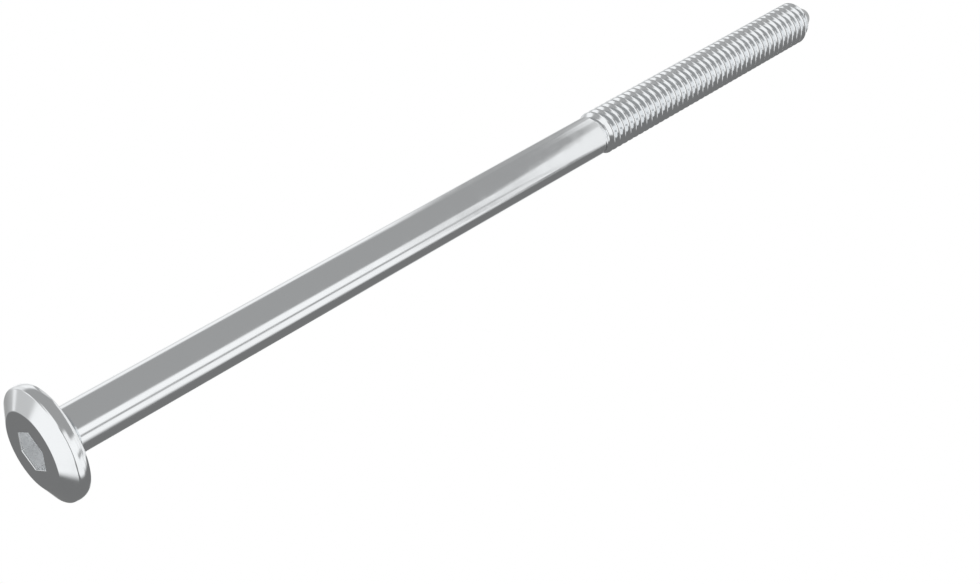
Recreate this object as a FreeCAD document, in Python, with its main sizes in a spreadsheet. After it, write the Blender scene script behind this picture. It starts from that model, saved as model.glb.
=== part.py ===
import FreeCAD, Part
import Sketcher
import math
import os

# Furniture connector bolt: flat bevelled head with a hexagon socket, a conical bearing
# collar and a relieved neck under it, a long plain shank, a 5/16-18 UNC threaded end and a
# conical pilot point. The whole bolt is one turned/formed piece of steel.
#
# The bolt's own axes: X along its axis from the flat face (x = 0) to the point, Z and Y
# across it. It is then laid down as it comes to rest on a level surface: the head's rim and
# the end of the thread touch the surface, so the axis slopes a little under 2 degrees down
# towards the point. The row's origin is on the surface, under the middle of the box.
#
# The thread is drawn as its major cylinder: its crest diameter is the true one.

doc = FreeCAD.newDocument("ConnectorBolt")

# ---------------------------------------------------------------------------------------
# Driving dimensions, millimetres and degrees
# ---------------------------------------------------------------------------------------
sheet = doc.addObject("Spreadsheet::Sheet", "Dimensions")
DIMS = [
    ("face_dia", 11.92, "flat outer face of the head"),
    ("bevel_height", 1.48, "height of the bevel round the flat face"),
    ("rim_edge_dia", 17.22, "edges on both sides of the rounded rim"),
    ("head_dia", 17.56, "largest diameter, at the middle of the rim"),
    ("rim_back", 3.1, "where the rim's rounding ends"),
    ("head_height", 3.35, "flat face to bearing face"),
    ("bearing_dia", 16.42, "outer diameter of the bearing face"),
    ("back_round", 0.36, "round between rim and bearing face"),
    ("collar_dia", 10.1, "collar where it meets the bearing face"),
    ("collar_end", 4.5, "end of the collar from the flat face"),
    ("neck_dia", 5.96, "relieved neck"),
    ("shank_start", 5.4, "shoulder where the shank begins"),
    ("shank_dia", 7.2, "plain shank, the blank the thread is rolled on"),
    ("shank_edge", 0.16, "bevel on the shank's shoulder"),
    ("thread_start", 111.8, "end of the plain shank"),
    ("thread_relief_dia", 6.96, "narrow ring between shank and first turn"),
    ("thread_full", 113.0, "where the thread reaches its full diameter"),
    ("thread_dia", 7.88, "major diameter of the 5/16-18 UNC thread"),
    ("thread_pitch", 1.4111, "pitch of the thread, 18 to the inch, right hand"),
    ("bolt_length", 173.35, "whole length, 170 under the head"),
    ("thread_stop", 3.6, "end of the full thread, from the point"),
    ("point_back", 2.95, "where the point's cone begins, from the point"),
    ("point_root_dia", 6.12, "cone at its wide end"),
    ("point_front", 0.335, "where the point's cone ends, from the point"),
    ("point_dia", 3.35, "cone at its narrow end"),
    ("tip_dia", 2.85, "outer edge of the end face"),
    ("tip_round", 0.4, "round between cone and end face"),
    ("dimple_dia", 2.2, "dimple in the end face"),
    ("dimple_depth", 0.25, "depth of the dimple"),
    ("across_flats", 5.62, "hexagon socket"),
    ("socket_depth", 2.9, "depth of the socket's flats"),
    ("socket_clocking", 10.6, "one corner of the hexagon, from Y towards Z"),
    ("mouth_bevel", 0.06, "bevel round the socket's mouth"),
    ("floor_dia", 5.1, "round end of the socket's floor"),
    ("floor_depth", 0.6, "cone in the socket's floor"),
    ("collar_root", 0.2, "fillet where the collar meets the bearing face"),
    ("neck_root", 0.32, "fillet where the collar meets the neck"),
    ("relief_root", 0.24, "fillet where the neck meets the shoulder"),
    ("crest_round", 0.28, "round on the last turn"),
    ("point_root", 1.2, "fillet between the last turn and the cone"),
    ("rest_turn", 18.3, "turn about its own axis as it lies, from Y towards Z"),
]
sheet.set("A1", "name")
sheet.set("B1", "value")
sheet.set("C1", "meaning")
VALUE = {}
for i, (name, value, meaning) in enumerate(DIMS):
    row = i + 2
    sheet.set("A%d" % row, name)
    sheet.set("B%d" % row, str(value))
    sheet.setAlias("B%d" % row, name)
    sheet.set("C%d" % row, meaning)
    VALUE[name] = value
doc.recompute()


def plane_of(body, role):
    for feature in body.Origin.OriginFeatures:
        if feature.Role == role:
            return feature
    raise RuntimeError("no origin plane " + role)


class Profile:
    """A closed profile of straight lines and arcs; every corner is bound to the sheet."""

    def __init__(self, body, name, role):
        self.sketch = body.newObject("Sketcher::SketchObject", name)
        self.sketch.AttachmentSupport = [(plane_of(body, role), "")]
        self.sketch.MapMode = "FlatFace"

    def bind(self, kind, args, expression, value):
        index = self.sketch.addConstraint(Sketcher.Constraint(kind, *args, value))
        self.sketch.setExpression("Constraints[%d]" % index, expression)

    def close(self, corners):
        """corners: (x, x expression, r, r expression, arc radius expression or None,
        arc radius, convex); the arc runs from this corner to the next one."""
        sk = self.sketch
        count = len(corners)
        ids = []
        for i, corner in enumerate(corners):
            x0, r0 = corner[0], corner[2]
            x1, r1 = corners[(i + 1) % count][0], corners[(i + 1) % count][2]
            a = FreeCAD.Vector(x0, r0, 0)
            b = FreeCAD.Vector(x1, r1, 0)
            if corner[4] is None:
                ids.append((sk.addGeometry(Part.LineSegment(a, b), False), 1, 2))
                continue
            radius = corner[5]
            chord = b - a
            half = chord.Length / 2
            side = FreeCAD.Vector(-chord.y, chord.x, 0)
            side.normalize()
            # the profile is drawn from the face to the point, outside on its left
            centre = (a + b) * 0.5 - side * math.sqrt(radius * radius - half * half)
            circle = Part.Circle(centre, FreeCAD.Vector(0, 0, 1), radius)
            start = math.atan2(b.y - centre.y, b.x - centre.x)
            stop = math.atan2(a.y - centre.y, a.x - centre.x)
            if stop < start:
                stop += 2 * math.pi
            # drawn anticlockwise from b to a, so its end point is a
            ids.append((sk.addGeometry(Part.ArcOfCircle(circle, start, stop), False), 2, 1))
        for i in range(count):
            j = (i + 1) % count
            sk.addConstraint(
                Sketcher.Constraint("Coincident", ids[i][0], ids[i][2], ids[j][0], ids[j][1])
            )
        for i, corner in enumerate(corners):
            geo, point = ids[i][0], ids[i][1]
            x, x_expression, r, r_expression, arc_expression, arc = corner[:6]
            if x_expression is None:
                sk.addConstraint(Sketcher.Constraint("PointOnObject", geo, point, -2))
            else:
                self.bind("DistanceX", (-1, 1, geo, point), x_expression, x)
            if r_expression is None:
                sk.addConstraint(Sketcher.Constraint("PointOnObject", geo, point, -1))
            else:
                self.bind("DistanceY", (-1, 1, geo, point), r_expression, r)
            if arc_expression is not None:
                self.bind("Radius", (geo,), arc_expression, arc)
        return sk


V = VALUE
SHEET = "Dimensions."


def along(name):
    return V[name], SHEET + name


def from_point(name):
    return V["bolt_length"] - V[name], SHEET + "bolt_length - " + SHEET + name


def radius_of(name):
    return V[name] / 2, SHEET + name + " / 2"


def corner(x, r, arc=None):
    arc_value, arc_expression = arc if arc else (None, None)
    return (x[0], x[1], r[0], r[1], arc_expression, arc_value)


ZERO = (0.0, None)

body = doc.addObject("PartDesign::Body", "connector_bolt")
body.Label = "connector_bolt"

# the rim is an arc through both of its edges and the head's largest diameter
rim_half = (V["rim_back"] - V["bevel_height"]) / 2
rim_rise = (V["head_dia"] - V["rim_edge_dia"]) / 2
rim_radius = (rim_half ** 2 + rim_rise ** 2) / (2 * rim_rise)
rim_expression = (
    "(((Dimensions.rim_back - Dimensions.bevel_height) / 2) ^ 2"
    " + ((Dimensions.head_dia - Dimensions.rim_edge_dia) / 2) ^ 2)"
    " / (Dimensions.head_dia - Dimensions.rim_edge_dia)"
)

# ---------------------------------------------------------------------------------------
# Turned outline, from the flat face to the point
# ---------------------------------------------------------------------------------------
outline = Profile(body, "Outline", "XZ_Plane").close(
    [
        corner(ZERO, ZERO),
        corner(ZERO, radius_of("face_dia")),
        corner(along("bevel_height"), radius_of("rim_edge_dia"), (rim_radius, rim_expression)),
        corner(along("rim_back"), radius_of("rim_edge_dia"), along("back_round")),
        corner(along("head_height"), radius_of("bearing_dia")),
        corner(along("head_height"), radius_of("collar_dia")),
        corner(along("collar_end"), radius_of("neck_dia")),
        corner(along("shank_start"), radius_of("neck_dia")),
        corner(
            along("shank_start"),
            (
                V["shank_dia"] / 2 - V["shank_edge"],
                SHEET + "shank_dia / 2 - " + SHEET + "shank_edge",
            ),
        ),
        corner(
            (
                V["shank_start"] + V["shank_edge"],
                SHEET + "shank_start + " + SHEET + "shank_edge",
            ),
            radius_of("shank_dia"),
        ),
        corner(
            (
                V["thread_start"] - V["shank_edge"],
                SHEET + "thread_start - " + SHEET + "shank_edge",
            ),
            radius_of("shank_dia"),
        ),
        corner(along("thread_start"), radius_of("thread_relief_dia")),
        corner(along("thread_full"), radius_of("thread_dia")),
        corner(from_point("thread_stop"), radius_of("thread_dia")),
        corner(from_point("point_back"), radius_of("point_root_dia")),
        corner(from_point("point_front"), radius_of("point_dia"), along("tip_round")),
        corner(along("bolt_length"), radius_of("tip_dia")),
        corner(along("bolt_length"), radius_of("dimple_dia")),
        corner(from_point("dimple_depth"), ZERO),
    ]
)
turned = body.newObject("PartDesign::Revolution", "TurnedBlank")
turned.Profile = outline
turned.ReferenceAxis = (outline, ["H_Axis"])
turned.Angle = 360.0
outline.Visibility = False
doc.recompute()
blank_volume = turned.Shape.Volume


def ring_edges(shape, x, radius):
    """Names of the circular edges round the axis at x with that radius."""
    found = []
    for n, edge in enumerate(shape.Edges):
        curve = edge.Curve
        if not isinstance(curve, Part.Circle):
            continue
        if abs(curve.Radius - radius) < 0.01 and abs(curve.Center.x - x) < 0.01:
            found.append("Edge%d" % (n + 1))
    if not found:
        raise RuntimeError("no ring edge at x %.2f, radius %.2f" % (x, radius))
    return found


def ring_fillet(base, name, x, radius, size):
    feature = body.newObject("PartDesign::Fillet", name)
    feature.Base = (base, ring_edges(base.Shape, x, radius))
    feature.Radius = V[size]
    feature.setExpression("Radius", SHEET + size)
    doc.recompute()
    return feature


# forming radii: collar into bearing face, collar into neck, neck into shoulder, last turn
step = ring_fillet(turned, "CollarRoot", V["head_height"], V["collar_dia"] / 2, "collar_root")
step = ring_fillet(step, "NeckRoot", V["collar_end"], V["neck_dia"] / 2, "neck_root")
step = ring_fillet(step, "ReliefRoot", V["shank_start"], V["neck_dia"] / 2, "relief_root")
step = ring_fillet(
    step, "LastTurn", V["bolt_length"] - V["thread_stop"], V["thread_dia"] / 2, "crest_round"
)
step = ring_fillet(
    step, "PointRoot", V["bolt_length"] - V["point_back"], V["point_root_dia"] / 2, "point_root"
)

# ---------------------------------------------------------------------------------------
# Hexagon socket: corners on a circle, one corner set by the clocking angle
# ---------------------------------------------------------------------------------------
corner_radius = V["across_flats"] / 2 / math.cos(math.pi / 6)
socket = body.newObject("Sketcher::SketchObject", "SocketHexagon")
socket.AttachmentSupport = [(plane_of(body, "YZ_Plane"), "")]
socket.MapMode = "FlatFace"
points = [
    FreeCAD.Vector(
        corner_radius * math.cos(math.radians(V["socket_clocking"] + 60 * k)),
        corner_radius * math.sin(math.radians(V["socket_clocking"] + 60 * k)),
        0,
    )
    for k in range(6)
]
flats = [
    socket.addGeometry(Part.LineSegment(points[k], points[(k + 1) % 6]), False)
    for k in range(6)
]
round_ = socket.addGeometry(
    Part.Circle(FreeCAD.Vector(0, 0, 0), FreeCAD.Vector(0, 0, 1), corner_radius), True
)
spoke = socket.addGeometry(Part.LineSegment(FreeCAD.Vector(0, 0, 0), points[0]), True)
for k in range(6):
    socket.addConstraint(
        Sketcher.Constraint("Coincident", flats[k], 2, flats[(k + 1) % 6], 1)
    )
    socket.addConstraint(Sketcher.Constraint("PointOnObject", flats[k], 1, round_))
for k in range(1, 6):
    socket.addConstraint(Sketcher.Constraint("Equal", flats[0], flats[k]))
socket.addConstraint(Sketcher.Constraint("Coincident", round_, 3, -1, 1))
socket.addConstraint(Sketcher.Constraint("Coincident", spoke, 1, -1, 1))
socket.addConstraint(Sketcher.Constraint("Coincident", spoke, 2, flats[0], 1))
index = socket.addConstraint(Sketcher.Constraint("Radius", round_, corner_radius))
socket.setExpression("Constraints[%d]" % index, "Dimensions.across_flats / 2 / cos(30 deg)")
index = socket.addConstraint(
    Sketcher.Constraint("Angle", -1, spoke, math.radians(V["socket_clocking"]))
)
socket.setExpression("Constraints[%d]" % index, "Dimensions.socket_clocking * 1 deg")
socket.Visibility = False
doc.recompute()

before = body.Shape.Volume
pocket = body.newObject("PartDesign::Pocket", "Socket")
pocket.Profile = socket
pocket.Type = 0
pocket.Length = V["socket_depth"]
pocket.setExpression("Length", "Dimensions.socket_depth")
pocket.Reversed = True
doc.recompute()
hexagon_area = 3 * math.sqrt(3) / 2 * corner_radius ** 2
cut = before - body.Shape.Volume
if abs(cut - hexagon_area * V["socket_depth"]) > 1.0:
    raise RuntimeError("the socket removed %.2f mm3" % cut)

# bevel round the mouth of the socket: the six edges of the hexagon in the flat face
mouth = []
for n, edge in enumerate(pocket.Shape.Edges):
    if len(edge.Vertexes) != 2:
        continue
    if all(abs(v.Point.x) < 1e-4 for v in edge.Vertexes) and abs(
        edge.Length - corner_radius
    ) < 0.01:
        mouth.append("Edge%d" % (n + 1))
if len(mouth) != 6:
    raise RuntimeError("the socket's mouth has %d edges" % len(mouth))
bevel = body.newObject("PartDesign::Chamfer", "MouthBevel")
bevel.Base = (pocket, mouth)
bevel.Size = V["mouth_bevel"]
bevel.setExpression("Size", "Dimensions.mouth_bevel")
doc.recompute()

# the socket's floor ends in a shallow cone
floor_profile = Profile(body, "FloorCone", "XZ_Plane").close(
    [
        corner((V["socket_depth"] - 0.5, SHEET + "socket_depth - 0.5"), ZERO),
        corner((V["socket_depth"] - 0.5, SHEET + "socket_depth - 0.5"), radius_of("floor_dia")),
        corner(along("socket_depth"), radius_of("floor_dia")),
        corner(
            (
                V["socket_depth"] + V["floor_depth"],
                SHEET + "socket_depth + " + SHEET + "floor_depth",
            ),
            ZERO,
        ),
    ]
)
before = body.Shape.Volume
cone = body.newObject("PartDesign::Groove", "SocketFloor")
cone.Profile = floor_profile
cone.ReferenceAxis = (floor_profile, ["H_Axis"])
cone.Angle = 360.0
floor_profile.Visibility = False
doc.recompute()
cut = before - body.Shape.Volume
cone_volume = math.pi / 3 * (V["floor_dia"] / 2) ** 2 * V["floor_depth"]
if abs(cut - cone_volume) > 0.3:
    raise RuntimeError("the socket's floor removed %.2f mm3" % cut)
body.Tip = cone

# ---------------------------------------------------------------------------------------
# Lay the bolt down: rim and last turn touch the surface
# ---------------------------------------------------------------------------------------
rim_x = (V["bevel_height"] + V["rim_back"]) / 2
rim_centre = V["head_dia"] / 2 - rim_radius
turn_x = V["bolt_length"] - V["thread_stop"]
turn_r = V["thread_dia"] / 2


def reach(x, r, angle):
    """How far a ring at x, of radius r, reaches below the flat face's centre."""
    return r * math.cos(angle) + x * math.sin(angle)


low, high = 0.0, 0.2
for _ in range(80):
    middle = (low + high) / 2
    if reach(rim_x, rim_centre, middle) + rim_radius > reach(turn_x, turn_r, middle):
        low = middle
    else:
        high = middle
tilt = (low + high) / 2
turn = FreeCAD.Rotation(FreeCAD.Vector(0, 1, 0), math.degrees(tilt)).multiply(
    FreeCAD.Rotation(FreeCAD.Vector(1, 0, 0), V["rest_turn"])
)
body.Placement = FreeCAD.Placement(FreeCAD.Vector(0, 0, 0), turn)
doc.recompute()
# twice: once to find the fillet's small effect on the resting height, once to set it
box = body.Shape.optimalBoundingBox(False, False)
body.Placement = FreeCAD.Placement(
    FreeCAD.Vector(-(box.XMin + box.XMax) / 2, 0, -box.ZMin), turn
)
doc.recompute()

# ---------------------------------------------------------------------------------------
# Check and write
# ---------------------------------------------------------------------------------------
for item in doc.Objects:
    for word in ("Invalid", "Error"):
        if word in item.State:
            raise RuntimeError("%s is %s" % (item.Name, word))
if body.Shape.isNull() or not body.Shape.isValid():
    raise RuntimeError("the bolt's shape is null or invalid")
if len(body.Shape.Solids) != 1:
    raise RuntimeError("the bolt has %d solids" % len(body.Shape.Solids))

os.makedirs("parts", exist_ok=True)
body.Shape.exportStep("parts/connector_bolt.step")

box = body.Shape.optimalBoundingBox(False, False)
print("volume %.1f mm3, blank %.1f mm3" % (body.Shape.Volume, blank_volume))
print("tilt %.4f degrees" % math.degrees(tilt))
print(
    "box x %.3f..%.3f y %.3f..%.3f z %.3f..%.3f"
    % (box.XMin, box.XMax, box.YMin, box.YMax, box.ZMin, box.ZMax)
)
place = body.Placement
for label, x in (
    ("flat face centre", 0.0),
    ("bearing face centre", V["head_height"]),
    ("thread start", V["thread_start"]),
    ("thread middle", (V["thread_full"] + turn_x) / 2),
    ("point", V["bolt_length"]),
):
    p = place.multVec(FreeCAD.Vector(x, 0, 0))
    print("%s %.4f %.4f %.4f" % (label, p.x, p.y, p.z))
direction = place.Rotation.multVec(FreeCAD.Vector(1, 0, 0))
print("axis %.6f %.6f %.6f" % (direction.x, direction.y, direction.z))
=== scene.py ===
import math

import bpy
import numpy as np
from mathutils import Matrix, Vector


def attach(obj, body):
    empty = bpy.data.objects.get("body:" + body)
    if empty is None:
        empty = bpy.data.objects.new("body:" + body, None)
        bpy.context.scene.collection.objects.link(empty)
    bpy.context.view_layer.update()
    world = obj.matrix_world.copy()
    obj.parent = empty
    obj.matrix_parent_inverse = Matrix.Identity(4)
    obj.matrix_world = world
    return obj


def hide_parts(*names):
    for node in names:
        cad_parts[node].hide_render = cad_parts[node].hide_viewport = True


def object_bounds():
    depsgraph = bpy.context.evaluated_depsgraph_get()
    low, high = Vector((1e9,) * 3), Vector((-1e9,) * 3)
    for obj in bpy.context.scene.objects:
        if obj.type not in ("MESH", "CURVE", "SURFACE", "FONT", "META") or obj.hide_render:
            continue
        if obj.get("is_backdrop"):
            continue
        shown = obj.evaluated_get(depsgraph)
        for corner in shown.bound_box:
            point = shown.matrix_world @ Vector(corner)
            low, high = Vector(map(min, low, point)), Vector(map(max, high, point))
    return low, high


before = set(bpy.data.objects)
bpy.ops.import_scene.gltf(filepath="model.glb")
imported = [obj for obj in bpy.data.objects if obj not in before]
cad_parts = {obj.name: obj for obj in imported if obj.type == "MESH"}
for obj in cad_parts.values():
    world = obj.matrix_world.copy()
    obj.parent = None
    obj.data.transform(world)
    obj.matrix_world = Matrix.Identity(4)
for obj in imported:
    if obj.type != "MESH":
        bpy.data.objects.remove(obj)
cad_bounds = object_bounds()

# ---------------------------------------------------------------------------------------
# The bolt's own axes: x along the axis from the flat face to the point, radius r, angle
# from Y towards Z. Millimetres; the placement at the end turns them into the row's metres.
# ---------------------------------------------------------------------------------------
TILT = math.radians(1.6558)
FACE = (-86.5733, 0.0, 8.8433)
CORNER = math.radians(28.9)  # one corner of the socket's hexagon

LENGTH = 173.35
PITCH = 1.4111
CREST = 3.95
DEPTH = 0.885
PHASE = 113.10  # a crest passes this x at angle 0
SHANK = 3.6
THREAD_IN = 112.42
THREAD_OUT = LENGTH - 2.93
ROOT = CREST - DEPTH

COLUMNS = 96
ANGLES = CORNER + 2 * math.pi * np.arange(COLUMNS) / COLUMNS


def soft_min(a, b, k):
    h = np.maximum(k - np.abs(a - b), 0.0) / k
    return np.minimum(a, b) - h * h * k * 0.25


def soft_max(a, b, k):
    return -soft_min(-a, -b, k)


def end_outline(x):
    """Cone of the point and the flare that rises from it to the last turn."""
    cone = 1.675 + 0.522 * (LENGTH - 0.335 - x)
    flare = 3.02 + 1.90 * (LENGTH - 3.05 - x)
    return soft_max(cone, flare, 0.25)


def thread_radius(x, angle):
    u = (x - PHASE) / PITCH - angle / (2 * math.pi)
    d = np.abs(u - np.round(u)) * PITCH
    below = (d - 0.030) * 1.732
    below = soft_max(below, np.zeros_like(below), 0.24)
    below = soft_min(below, np.full_like(below, DEPTH), 0.16)
    start = 3.13 + 1.50 * np.maximum(x - 112.66, 0.0)
    r = soft_min(CREST - below, start, 0.14)
    return soft_min(r, end_outline(x), 0.16)


# ---------------------------------------------------------------------------------------
# Outline: corners (x, r, fillet, steps), from the edge of the flat face to the thread,
# then from the thread to the middle of the end face
# ---------------------------------------------------------------------------------------
def rounded(points):
    """Samples (x, r, normal arriving, normal leaving) along a path with rounded corners."""
    out = []
    count = len(points)
    for i, (x, r, fillet, steps) in enumerate(points):
        p = np.array((x, r))
        back = ahead = None
        if i > 0:
            back = p - np.array(points[i - 1][:2])
            back /= np.linalg.norm(back)
        if i < count - 1:
            ahead = np.array(points[i + 1][:2]) - p
            ahead /= np.linalg.norm(ahead)
        if back is None:
            back = ahead
        if ahead is None:
            ahead = back
        normal_in = np.array((-back[1], back[0]))
        normal_out = np.array((-ahead[1], ahead[0]))
        turn = math.acos(float(np.clip(back @ ahead, -1, 1)))
        if fillet == "smooth":
            n = normal_in + normal_out
            n /= np.linalg.norm(n)
            out.append((x, r, n, n))
        elif not fillet or turn < 1e-3:
            out.append((x, r, normal_in, normal_out))
        else:
            reach = fillet * math.tan(turn / 2)
            a = p - back * reach
            side = 1.0 if back[0] * ahead[1] - back[1] * ahead[0] < 0 else -1.0
            centre = a - normal_in * fillet * side
            for k in range(steps + 1):
                t = turn * k / steps * (-side)
                n = np.array(
                    (
                        normal_in[0] * math.cos(t) - normal_in[1] * math.sin(t),
                        normal_in[0] * math.sin(t) + normal_in[1] * math.cos(t),
                    )
                )
                q = centre + n * fillet * side
                out.append((q[0], q[1], n, n))
    return out


rim = []
for k in range(9):
    a = math.radians(-23.6 + (20.0 + 23.6) * k / 8)
    rim.append((2.29 + 2.015 * math.sin(a), 6.765 + 2.015 * math.cos(a), "smooth", 0))
rim[0] = (rim[0][0], rim[0][1], 0.42, 7)

HEAD_AND_SHANK = rounded(
    [(0.0, 5.50, 0, 0), (0.0, 5.96, 0.60, 7)]
    + rim
    + [
        (3.35, 8.47, 0.28, 7),
        (3.35, 5.05, 0.20, 5),
        (4.50, 2.98, 0.32, 6),
        (5.40, 2.98, 0.24, 5),
        (5.40, 3.46, 0.05, 3),
        (5.56, 3.60, 0.10, 3),
        (9.0, 3.60, 0, 0),
        (60.0, 3.60, 0, 0),
        (111.3, 3.60, 0, 0),
        (111.74, 3.60, 0.16, 5),
        (111.94, 3.44, 0.08, 4),
        (112.06, 3.17, 0.08, 4),
        (THREAD_IN - 0.05, 3.14, 0, 0),
        (THREAD_IN, 3.13, 0, 0),
    ]
)[1:]

flare = []
for k in range(8):
    x = THREAD_OUT + 0.04 * k
    flare.append((x, float(end_outline(np.array([x]))[0]), "smooth", 0))
POINT = rounded(
    flare
    + [
        (LENGTH - 0.335, 1.675, 0, 0),
        (LENGTH, 1.500, 0.42, 7),
        (LENGTH, 1.10, 0.06, 3),
        (LENGTH - 0.16, 0.78, "smooth", 0),
        (LENGTH - 0.23, 0.40, "smooth", 0),
        (LENGTH - 0.25, 0.16, "smooth", 0),
    ]
)

# ---------------------------------------------------------------------------------------
# Mesh builder: every loop carries its own normal
# ---------------------------------------------------------------------------------------
verts = []
faces = []
normals = []


def add(points):
    start = len(verts)
    verts.extend(points)
    return np.arange(start, start + len(points))


def circle(x, r, angles=ANGLES):
    return [(x, r * math.cos(a), r * math.sin(a)) for a in angles]


def spin(normal, angles=ANGLES):
    nx, nr = normal
    return np.array([(nx, nr * math.cos(a), nr * math.sin(a)) for a in angles])


def strip(a, b, na, nb):
    count = len(a)
    for i in range(count):
        j = (i + 1) % count
        faces.append((int(a[i]), int(a[j]), int(b[j]), int(b[i])))
        normals.extend((na[i], na[j], nb[j], nb[i]))


def hexagon(x, apothem, fillet):
    """96 points round a hexagon with slightly rounded corners, and their outward normals."""
    points, across = [], []
    centre_r = (apothem - fillet) / math.cos(math.pi / 6)
    half = 2
    for k in range(6):
        corner = CORNER + k * math.pi / 3
        cy, cz = centre_r * math.cos(corner), centre_r * math.sin(corner)
        for s in range(-half, half + 1):
            a = corner + s / half * math.pi / 6
            points.append((x, cy + fillet * math.cos(a), cz + fillet * math.sin(a)))
            across.append((math.cos(a), math.sin(a)))
        nxt = corner + math.pi / 3
        a = corner + math.pi / 6
        y0, z0 = points[-1][1], points[-1][2]
        y1 = centre_r * math.cos(nxt) + fillet * math.cos(a)
        z1 = centre_r * math.sin(nxt) + fillet * math.sin(a)
        for s in range(1, 12):
            t = s / 12
            points.append((x, y0 + (y1 - y0) * t, z0 + (z1 - z0) * t))
            across.append((math.cos(a), math.sin(a)))
    # start on the corner, so that the columns line up with the circles'
    points = points[half:] + points[:half]
    across = across[half:] + across[:half]
    return points, np.array(across)


def hex_normals(across, nx, nr):
    return np.array([(nx, nr * c, nr * s) for c, s in across])


# socket: floor cone, floor, walls, mouth bevel, flat face
pole = len(verts)
verts.append((3.50, 0.0, 0.0))
inner = add(circle(3.38, 0.50))
outer = add(circle(2.90, 2.55))
slope = np.array((-2.55, -0.60)) / math.hypot(2.55, 0.60)
n_cone = spin(slope)
for i in range(COLUMNS):
    j = (i + 1) % COLUMNS
    faces.append((pole, int(inner[j]), int(inner[i])))
    normals.extend(((-1.0, 0.0, 0.0), n_cone[j], n_cone[i]))
strip(inner, outer, n_cone, n_cone)
flat = np.tile((-1.0, 0.0, 0.0), (COLUMNS, 1))
points, across = hexagon(2.90, 2.81, 0.15)
floor_edge = add(points)
strip(outer, floor_edge, flat, flat)
points, across = hexagon(0.20, 2.81, 0.15)
wall_top = add(points)
inward = hex_normals(across, 0.0, -1.0)
strip(floor_edge, wall_top, inward, inward)
points, _ = hexagon(0.10, 2.822, 0.15)
lip_low = add(points)
n_low = hex_normals(across, -0.27, -0.963)
strip(wall_top, lip_low, inward, n_low)
points, _ = hexagon(0.035, 2.845, 0.15)
mouth_a = add(points)
n_mid = hex_normals(across, -0.62, -0.785)
strip(lip_low, mouth_a, n_low, n_mid)
points, _ = hexagon(0.0, 2.880, 0.15)
mouth_b = add(points)
n_high = hex_normals(across, -0.90, -0.436)
strip(mouth_a, mouth_b, n_mid, n_high)

previous, n_previous = mouth_b, flat
for x, r, n_in, n_out in HEAD_AND_SHANK:
    ring = add(circle(x, r))
    strip(previous, ring, n_previous, spin(n_in))
    previous, n_previous = ring, spin(n_out)
ring_in = previous

# thread: rows follow the helix, so the crests are clean lines
ROWS = sorted(
    {0.0, 0.5}
    | {s * v for v in (0.020, 0.042, 0.066, 0.092, 0.125, 0.25, 0.33, 0.365, 0.395, 0.435) for s in (1, -1)}
)
ROWS = sorted(v % 1.0 for v in ROWS)
PER_TURN = len(ROWS)
base_turn = math.floor((THREAD_IN - PHASE) / PITCH) - 2


def row_x(i, J):
    turn, k = divmod(J, PER_TURN)
    return PHASE + PITCH * ((ANGLES[0] / (2 * math.pi)) + i / COLUMNS + base_turn + turn + ROWS[k])


columns = []
for i in range(COLUMNS):
    first = None
    xs = []
    J = 0
    while True:
        x = row_x(i, J)
        if x > THREAD_OUT - 0.02:
            break
        if x > THREAD_IN + 0.02:
            if first is None:
                first = J
            xs.append(x)
        J += 1
    xs = np.array(xs)
    r = thread_radius(xs, np.full_like(xs, ANGLES[i]))
    index = add(
        [
            (float(a), float(b * math.cos(ANGLES[i])), float(b * math.sin(ANGLES[i])))
            for a, b in zip(xs, r)
        ]
    )
    step = 0.004
    slope_x = (
        thread_radius(xs + step, np.full_like(xs, ANGLES[i]))
        - thread_radius(xs - step, np.full_like(xs, ANGLES[i]))
    ) / (2 * step)
    da = 0.002
    slope_a = (
        thread_radius(xs, np.full_like(xs, ANGLES[i] + da))
        - thread_radius(xs, np.full_like(xs, ANGLES[i] - da))
    ) / (2 * da)
    c, s = math.cos(ANGLES[i]), math.sin(ANGLES[i])
    n = np.stack([-slope_x, c + slope_a / r * s, s - slope_a / r * c], 1)
    n /= np.linalg.norm(n, axis=1)[:, None]
    columns.append({"first": first, "last": first + len(xs) - 1, "index": index, "n": n})

exit_ring = add(circle(THREAD_OUT, POINT[0][1]))
n_in = spin(np.array((0.25, 0.968)))
n_out = spin(POINT[0][2])

for i in range(COLUMNS):
    j = (i + 1) % COLUMNS
    shift = PER_TURN if j == 0 else 0
    A, B = columns[i], columns[j]

    def va(J):
        return int(A["index"][J - A["first"]]), A["n"][J - A["first"]]

    def vb(J):
        return int(B["index"][J + shift - B["first"]]), B["n"][J + shift - B["first"]]

    def face(*corners):
        faces.append(tuple(c[0] for c in corners))
        normals.extend(c[1] for c in corners)

    a0, a1 = A["first"], A["last"]
    b0, b1 = B["first"] - shift, B["last"] - shift
    sa = (int(ring_in[i]), n_in[i])
    sb = (int(ring_in[j]), n_in[j])
    ea = (int(exit_ring[i]), n_out[i])
    eb = (int(exit_ring[j]), n_out[j])
    if b0 == a0:
        face(sa, sb, vb(b0), va(a0))
    else:
        face(sa, sb, vb(b0))
        for J in range(b0, a0 - 1):
            face(sa, vb(J), vb(J + 1))
        face(sa, vb(a0 - 1), vb(a0), va(a0))
    for J in range(a0, b1):
        face(va(J), vb(J), vb(J + 1), va(J + 1))
    if a1 == b1:
        face(va(a1), vb(b1), eb, ea)
    else:
        face(va(b1), vb(b1), eb, va(b1 + 1))
        for J in range(b1 + 1, a1):
            face(va(J), eb, va(J + 1))
        face(va(a1), eb, ea)

previous, n_previous = exit_ring, spin(POINT[0][3])
for x, r, n_in_, n_out_ in POINT[1:]:
    ring = add(circle(x, r))
    strip(previous, ring, n_previous, spin(n_in_))
    previous, n_previous = ring, spin(n_out_)
pole = len(verts)
verts.append((LENGTH - 0.255, 0.0, 0.0))
for i in range(COLUMNS):
    j = (i + 1) % COLUMNS
    faces.append((int(previous[i]), int(previous[j]), pole))
    normals.extend((n_previous[i], n_previous[j], (1.0, 0.0, 0.0)))

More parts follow.
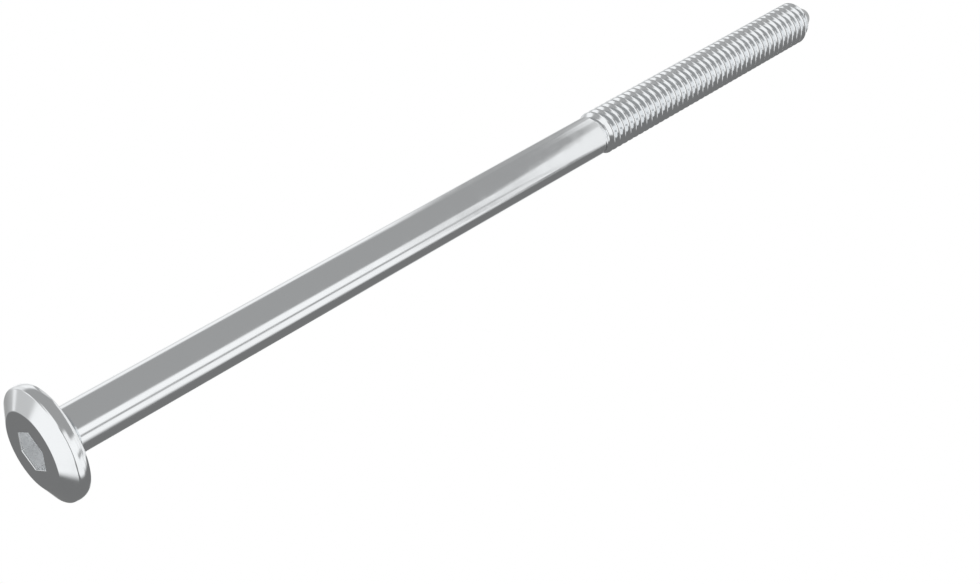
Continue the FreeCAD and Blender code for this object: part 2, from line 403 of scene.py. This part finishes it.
place = Matrix.Translation(Vector(FACE)) @ Matrix.Rotation(TILT, 4, "Y")
turn = np.array(place.to_3x3())
xyz = (np.array(verts) @ turn.T + np.array(FACE)) * 0.001
loop_normals = np.array([tuple(n) for n in normals]) @ turn.T

mesh = bpy.data.meshes.new("connector_bolt_look")
mesh.from_pydata([tuple(v) for v in xyz.tolist()], [], faces)
mesh.update()
for polygon in mesh.polygons:
    polygon.use_smooth = True
mesh.normals_split_custom_set([tuple(n) for n in loop_normals.tolist()])
bolt = bpy.data.objects.new("connector_bolt_look", mesh)
bpy.context.scene.collection.objects.link(bolt)
print("bolt faces", len(faces), "triangles", sum(len(f) - 2 for f in faces))

# ---------------------------------------------------------------------------------------
# Material: bright plated steel
# ---------------------------------------------------------------------------------------
steel = bpy.data.materials.new("plated_steel")
steel.use_nodes = True
tree = steel.node_tree
tree.nodes.clear()
out = tree.nodes.new("ShaderNodeOutputMaterial")
shader = tree.nodes.new("ShaderNodeBsdfPrincipled")
tree.links.new(shader.outputs["BSDF"], out.inputs["Surface"])

coords = tree.nodes.new("ShaderNodeTexCoord")
lines_map = tree.nodes.new("ShaderNodeMapping")
lines_map.inputs["Rotation"].default_value = (0.0, -TILT, 0.0)
lines_map.inputs["Scale"].default_value = (60.0, 5200.0, 5200.0)
tree.links.new(coords.outputs["Object"], lines_map.inputs["Vector"])
lines = tree.nodes.new("ShaderNodeTexNoise")
lines.inputs["Scale"].default_value = 1.0
lines.inputs["Detail"].default_value = 3.0
tree.links.new(lines_map.outputs["Vector"], lines.inputs["Vector"])
patches = tree.nodes.new("ShaderNodeTexNoise")
patches.inputs["Scale"].default_value = 420.0
patches.inputs["Detail"].default_value = 4.0
tree.links.new(coords.outputs["Object"], patches.inputs["Vector"])
rough = tree.nodes.new("ShaderNodeMapRange")
rough.inputs["From Min"].default_value = 0.35
rough.inputs["From Max"].default_value = 0.65
rough.inputs["To Min"].default_value = 0.085
rough.inputs["To Max"].default_value = 0.15
tree.links.new(patches.outputs["Fac"], rough.inputs["Value"])

# inside the socket the plating is dull (rougher and less metallic), and its base colour is painted paler as
# painted light that brightens the recess
where = tree.nodes.new("ShaderNodeSeparateXYZ")
tree.links.new(coords.outputs["Object"], where.inputs["Vector"])


def shape(operation, a, b):
    node = tree.nodes.new("ShaderNodeMath")
    node.operation = operation
    for slot, value in enumerate((a, b)):
        if isinstance(value, (int, float)):
            node.inputs[slot].default_value = value
        else:
            tree.links.new(value, node.inputs[slot])
    return node.outputs[0]


out_x = shape("SUBTRACT", where.outputs["X"], FACE[0] * 0.001)
out_z = shape("SUBTRACT", where.outputs["Z"], FACE[2] * 0.001)
depth = shape(
    "SUBTRACT",
    shape("MULTIPLY", out_x, math.cos(TILT)),
    shape("MULTIPLY", out_z, math.sin(TILT)),
)
height = shape(
    "ADD",
    shape("MULTIPLY", out_x, math.sin(TILT)),
    shape("MULTIPLY", out_z, math.cos(TILT)),
)
radius = shape(
    "SQRT",
    shape("ADD", shape("MULTIPLY", height, height), shape("MULTIPLY", where.outputs["Y"], where.outputs["Y"])),
    0.0,
)
inside = shape(
    "MULTIPLY",
    shape("LESS_THAN", radius, 0.0035),
    shape("MULTIPLY", shape("LESS_THAN", depth, 0.0037), shape("GREATER_THAN", depth, 0.00019)),
)
dull = tree.nodes.new("ShaderNodeMix")
dull.data_type = "FLOAT"
tree.links.new(inside, dull.inputs[0])
tree.links.new(rough.outputs["Result"], dull.inputs[2])
dull.inputs[3].default_value = 0.32
tree.links.new(dull.outputs[0], shader.inputs["Roughness"])
# painted light: the base colour inside the socket is paler than outside, to brighten the recess walls
socket_painted_light = tree.nodes.new("ShaderNodeMix")
socket_painted_light.data_type = "RGBA"
tree.links.new(inside, socket_painted_light.inputs[0])
socket_painted_light.inputs[6].default_value = (0.850, 0.869, 0.883, 1.0)
socket_painted_light.inputs[7].default_value = (0.955, 0.97, 0.98, 1.0)
tree.links.new(socket_painted_light.outputs[2], shader.inputs["Base Color"])
oxide = tree.nodes.new("ShaderNodeMix")
oxide.data_type = "FLOAT"
tree.links.new(inside, oxide.inputs[0])
oxide.inputs[2].default_value = 1.0
oxide.inputs[3].default_value = 0.68
tree.links.new(oxide.outputs[0], shader.inputs["Metallic"])
bump = tree.nodes.new("ShaderNodeBump")
tree.links.new(shape("MULTIPLY", shape("SUBTRACT", 1.0, inside), 0.10), bump.inputs["Strength"])
bump.inputs["Distance"].default_value = 0.00001
tree.links.new(lines.outputs["Fac"], bump.inputs["Height"])
tree.links.new(bump.outputs["Normal"], shader.inputs["Normal"])
mesh.materials.append(steel)

# ---------------------------------------------------------------------------------------
# Studio: soft boxes that run along the bolt, set by the angle round X and the reach along X
# ---------------------------------------------------------------------------------------
scene = bpy.context.scene
world = bpy.data.worlds.new("studio")
scene.world = world
world.use_nodes = True
wt = world.node_tree
wt.nodes.clear()


def calc(operation, a, b=None, clamp=False):
    node = wt.nodes.new("ShaderNodeMath")
    node.operation = operation
    node.use_clamp = clamp
    for slot, value in enumerate((a, b)):
        if value is None:
            continue
        if isinstance(value, (int, float)):
            node.inputs[slot].default_value = value
        else:
            wt.links.new(value, node.inputs[slot])
    return node.outputs[0]


def rise(value, at, width):
    node = wt.nodes.new("ShaderNodeMapRange")
    node.interpolation_type = "SMOOTHSTEP"
    node.clamp = True
    wt.links.new(value, node.inputs["Value"])
    node.inputs["From Min"].default_value = at - width / 2
    node.inputs["From Max"].default_value = at + width / 2
    node.inputs["To Min"].default_value = 0.0
    node.inputs["To Max"].default_value = 1.0
    return node.outputs["Result"]


def fall(value, at, width):
    return calc("SUBTRACT", 1.0, rise(value, at, width))


def both(*masks):
    result = masks[0]
    for mask in masks[1:]:
        result = calc("MULTIPLY", result, mask)
    return result


direction = wt.nodes.new("ShaderNodeTexCoord")
split = wt.nodes.new("ShaderNodeSeparateXYZ")
wt.links.new(direction.outputs["Generated"], split.inputs["Vector"])
along = split.outputs["X"]
round_x = calc("MULTIPLY", calc("ARCTAN2", split.outputs["Z"], split.outputs["Y"]), 57.29578)


def sector(low, high, feather_low, feather_high):
    """1 between two angles round X (0 is +Y, 90 is up), with feathered edges."""
    middle = (low + high) / 2
    half = (high - low) / 2
    off = calc(
        "SUBTRACT", calc("FLOORED_MODULO", calc("ADD", round_x, 540.0 - middle), 360.0), 180.0
    )
    return both(rise(off, -half, feather_low), fall(off, half, feather_high))


light = None


def lay(target, mask):
    global light
    if light is None:
        light = calc("ADD", target, 0.0)
        return
    light = calc("ADD", light, calc("MULTIPLY", mask, calc("SUBTRACT", target, light)))


lay(0.37, None)
# below: dark
lay(0.195, sector(-172, -42, 12, 12))
lay(0.195, both(sector(-172, -31, 12, 12), fall(along, -0.22, 0.10)))
# far side, beyond the bolt: low half-bright wall, then the long bright box
lay(0.60, both(sector(-24, 20, 20, 16), fall(along, 0.20, 0.14)))
lay(0.90, both(sector(-14, 18, 16, 16), fall(along, 0.20, 0.14), rise(along, -0.28, 0.12)))
lay(0.95, both(sector(-20, -14, 5, 5), rise(along, -0.43, 0.05), fall(along, -0.31, 0.05)))
lay(1.05, both(sector(5, 27, 6, 4), fall(along, -0.45, 0.10)))
lay(0.42, both(sector(26, 46, 4, 4), fall(along, -0.45, 0.10), rise(along, -0.905, 0.03)))
lay(1.02, both(sector(-74, 20, 22, 14), rise(along, 0.20, 0.16)))
lay(1.02, both(sector(-30, 27, 12, 16), rise(along, 0.555, 0.03)))
lay(0.72, both(sector(-22, 32, 12, 14), rise(along, 0.665, 0.03)))
lay(0.40, both(sector(-50, -8, 8, 8), rise(along, 0.680, 0.03)))
lay(0.195, both(sector(-110, -68, 10, 9), rise(along, 0.16, 0.05), fall(along, 0.50, 0.06)))
lay(0.74, both(sector(-15, -3, 12, 12), rise(along, 0.20, 0.16)))
lay(0.40, both(sector(-13, 32, 18, 10), rise(along, 0.575, 0.05), fall(along, 0.668, 0.03)))
lay(0.46, both(sector(-84, -10, 12, 14), rise(along, 0.77, 0.05)))
lay(0.42, both(sector(-90, 30, 12, 10), rise(along, 0.94, 0.03)))
# near side: two long boxes, one above the other, with a narrow gap and a seam
lay(1.06, sector(150, 214, 10, 22))
lay(1.00, both(sector(132, 156, 12, 10), fall(along, 0.10, 0.24)))
lay(1.02, both(sector(190, 221, 6, 12), fall(along, 0.32, 0.14)))
lay(1.03, both(sector(190, 215, 6, 16), rise(along, 0.40, 0.10)))
lay(1.03, both(sector(190, 221, 6, 14), rise(along, 0.655, 0.03)))
lay(0.38, both(sector(178, 187, 7, 7), rise(along, 0.14, 0.24), fall(along, 0.655, 0.04)))
lay(0.50, both(sector(182, 197, 8, 8), rise(along, 0.65, 0.03), fall(along, 0.82, 0.05)))
lay(0.60, both(sector(150, 206, 10, 10), rise(along, 0.578, 0.024), fall(along, 0.607, 0.022)))
lay(0.28, both(sector(208, 219, 8, 8), rise(along, 0.602, 0.020), fall(along, 0.646, 0.020)))
lay(0.24, both(sector(118, 236, 10, 10), rise(along, -0.86, 0.05), fall(along, -0.62, 0.08)))
# overhead at the head's end, and the wall the face looks at
lay(1.02, both(sector(62, 116, 14, 20), fall(along, -0.40, 0.10)))
lay(1.04, fall(along, -0.90, 0.06))
lay(1.04, both(sector(-100, -40, 12, 12), fall(along, -0.755, 0.12)))
lay(1.04, both(sector(-60, 17, 12, 4), fall(along, -0.80, 0.10)))

glow = wt.nodes.new("ShaderNodeBackground")
wt.links.new(light, glow.inputs["Color"])
glow.inputs["Strength"].default_value = 1.0
plain = wt.nodes.new("ShaderNodeBackground")
plain.inputs["Color"].default_value = (1.0, 1.0, 1.0, 1.0)
plain.inputs["Strength"].default_value = 1.0
path = wt.nodes.new("ShaderNodeLightPath")
choose = wt.nodes.new("ShaderNodeMixShader")
wt.links.new(path.outputs["Is Camera Ray"], choose.inputs["Fac"])
wt.links.new(glow.outputs["Background"], choose.inputs[1])
wt.links.new(plain.outputs["Background"], choose.inputs[2])
world_out = wt.nodes.new("ShaderNodeOutputWorld")
wt.links.new(choose.outputs["Shader"], world_out.inputs["Surface"])
scene.view_settings.view_transform = "Standard"

# floor: plain white, lit evenly
floor_mesh = bpy.data.meshes.new("floor")
w = 1.5
floor_mesh.from_pydata([(-w, -w, 0), (w, -w, 0), (w, w, 0), (-w, w, 0)], [], [(0, 1, 2, 3)])
floor = bpy.data.objects.new("floor", floor_mesh)
scene.collection.objects.link(floor)
paper = bpy.data.materials.new("floor_paper")
paper.use_nodes = True
paper.node_tree.nodes.clear()
paper_out = paper.node_tree.nodes.new("ShaderNodeOutputMaterial")
paper_glow = paper.node_tree.nodes.new("ShaderNodeEmission")
paper_glow.inputs["Color"].default_value = (1.0, 1.0, 1.0, 1.0)
paper_glow.inputs["Strength"].default_value = 1.0
paper.node_tree.links.new(paper_glow.outputs["Emission"], paper_out.inputs["Surface"])
floor_mesh.materials.append(paper)
floor.visible_glossy = False
floor.visible_diffuse = False

# card past the point, a flat ring of light round the bolt's line: angle, outer radius
CARD_X = 0.150
EDGE = [
    (24, 0.110), (30, 0.136), (37, 0.151), (46, 0.157), (66, 0.155), (74, 0.147), (92, 0.145),
    (106, 0.148), (118, 0.159), (126, 0.163), (133, 0.170), (140, 0.186), (150, 0.196),
    (176, 0.196), (196, 0.180), (206, 0.164), (212, 0.155), (220, 0.144), (228, 0.132), (238, 0.128),
    (248, 0.124), (256, 0.105),
]
card_verts, card_faces = [], []
for angle, outer_radius in EDGE:
    a = math.radians(angle)
    for reach in (0.038, outer_radius - 0.009, outer_radius):
        card_verts.append((CARD_X, reach * math.cos(a), 0.002 + reach * math.sin(a)))
for k in range(len(EDGE) - 1):
    for band in (0, 1):
        i, j = 3 * k + band, 3 * (k + 1) + band
        card_faces.append((i, j, j + 1, i + 1))
card_mesh = bpy.data.meshes.new("card")
card_mesh.from_pydata(card_verts, [], card_faces)
for title, strength in (("card_bright", 0.95), ("card_soft", 0.70)):
    cloth = bpy.data.materials.new(title)
    cloth.use_nodes = True
    cloth.node_tree.nodes.clear()
    cloth_out = cloth.node_tree.nodes.new("ShaderNodeOutputMaterial")
    cloth_glow = cloth.node_tree.nodes.new("ShaderNodeEmission")
    cloth_glow.inputs["Color"].default_value = (1.0, 1.0, 1.0, 1.0)
    cloth_glow.inputs["Strength"].default_value = strength
    cloth.node_tree.links.new(cloth_glow.outputs["Emission"], cloth_out.inputs["Surface"])
    card_mesh.materials.append(cloth)
for k, polygon in enumerate(card_mesh.polygons):
    polygon.material_index = k % 2
card = bpy.data.objects.new("card", card_mesh)
scene.collection.objects.link(card)
card.visible_camera = False
card.visible_shadow = False

# ---------------------------------------------------------------------------------------
# Camera, at the photograph's angle
# ---------------------------------------------------------------------------------------
camera_data = bpy.data.cameras.new("camera")
camera_data.lens = 63.451
camera_data.sensor_width = 36.0
camera_data.sensor_fit = "HORIZONTAL"
camera_data.clip_start = 0.01
camera = bpy.data.objects.new("camera", camera_data)
scene.collection.objects.link(camera)
right = Vector((0.69393306, -0.72003952, 0.0))
up = Vector((0.44748993, 0.4312653, 0.78343028))
forward = Vector((0.56410076, 0.54364817, -0.62147968))
basis = Matrix((right, up, -forward)).transposed().to_4x4()
basis.translation = Vector((-0.16391950, -0.15866142, 0.16730771))
camera.matrix_world = basis
scene.camera = camera

# ---------------------------------------------------------------------------------------
floor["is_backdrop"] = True
card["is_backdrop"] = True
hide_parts("connector_bolt")
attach(bolt, "root")

bpy.context.view_layer.update()
new_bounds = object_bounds()


def plain_lists(value):
    if isinstance(value, dict):
        return {str(k): plain_lists(v) for k, v in value.items()}
    if isinstance(value, (list, tuple, Vector, np.ndarray)):
        return [plain_lists(v) for v in value]
    if isinstance(value, (int, float, np.floating)):
        return float(value)
    return str(value)


{"cad": plain_lists(cad_bounds), "now": plain_lists(new_bounds)}
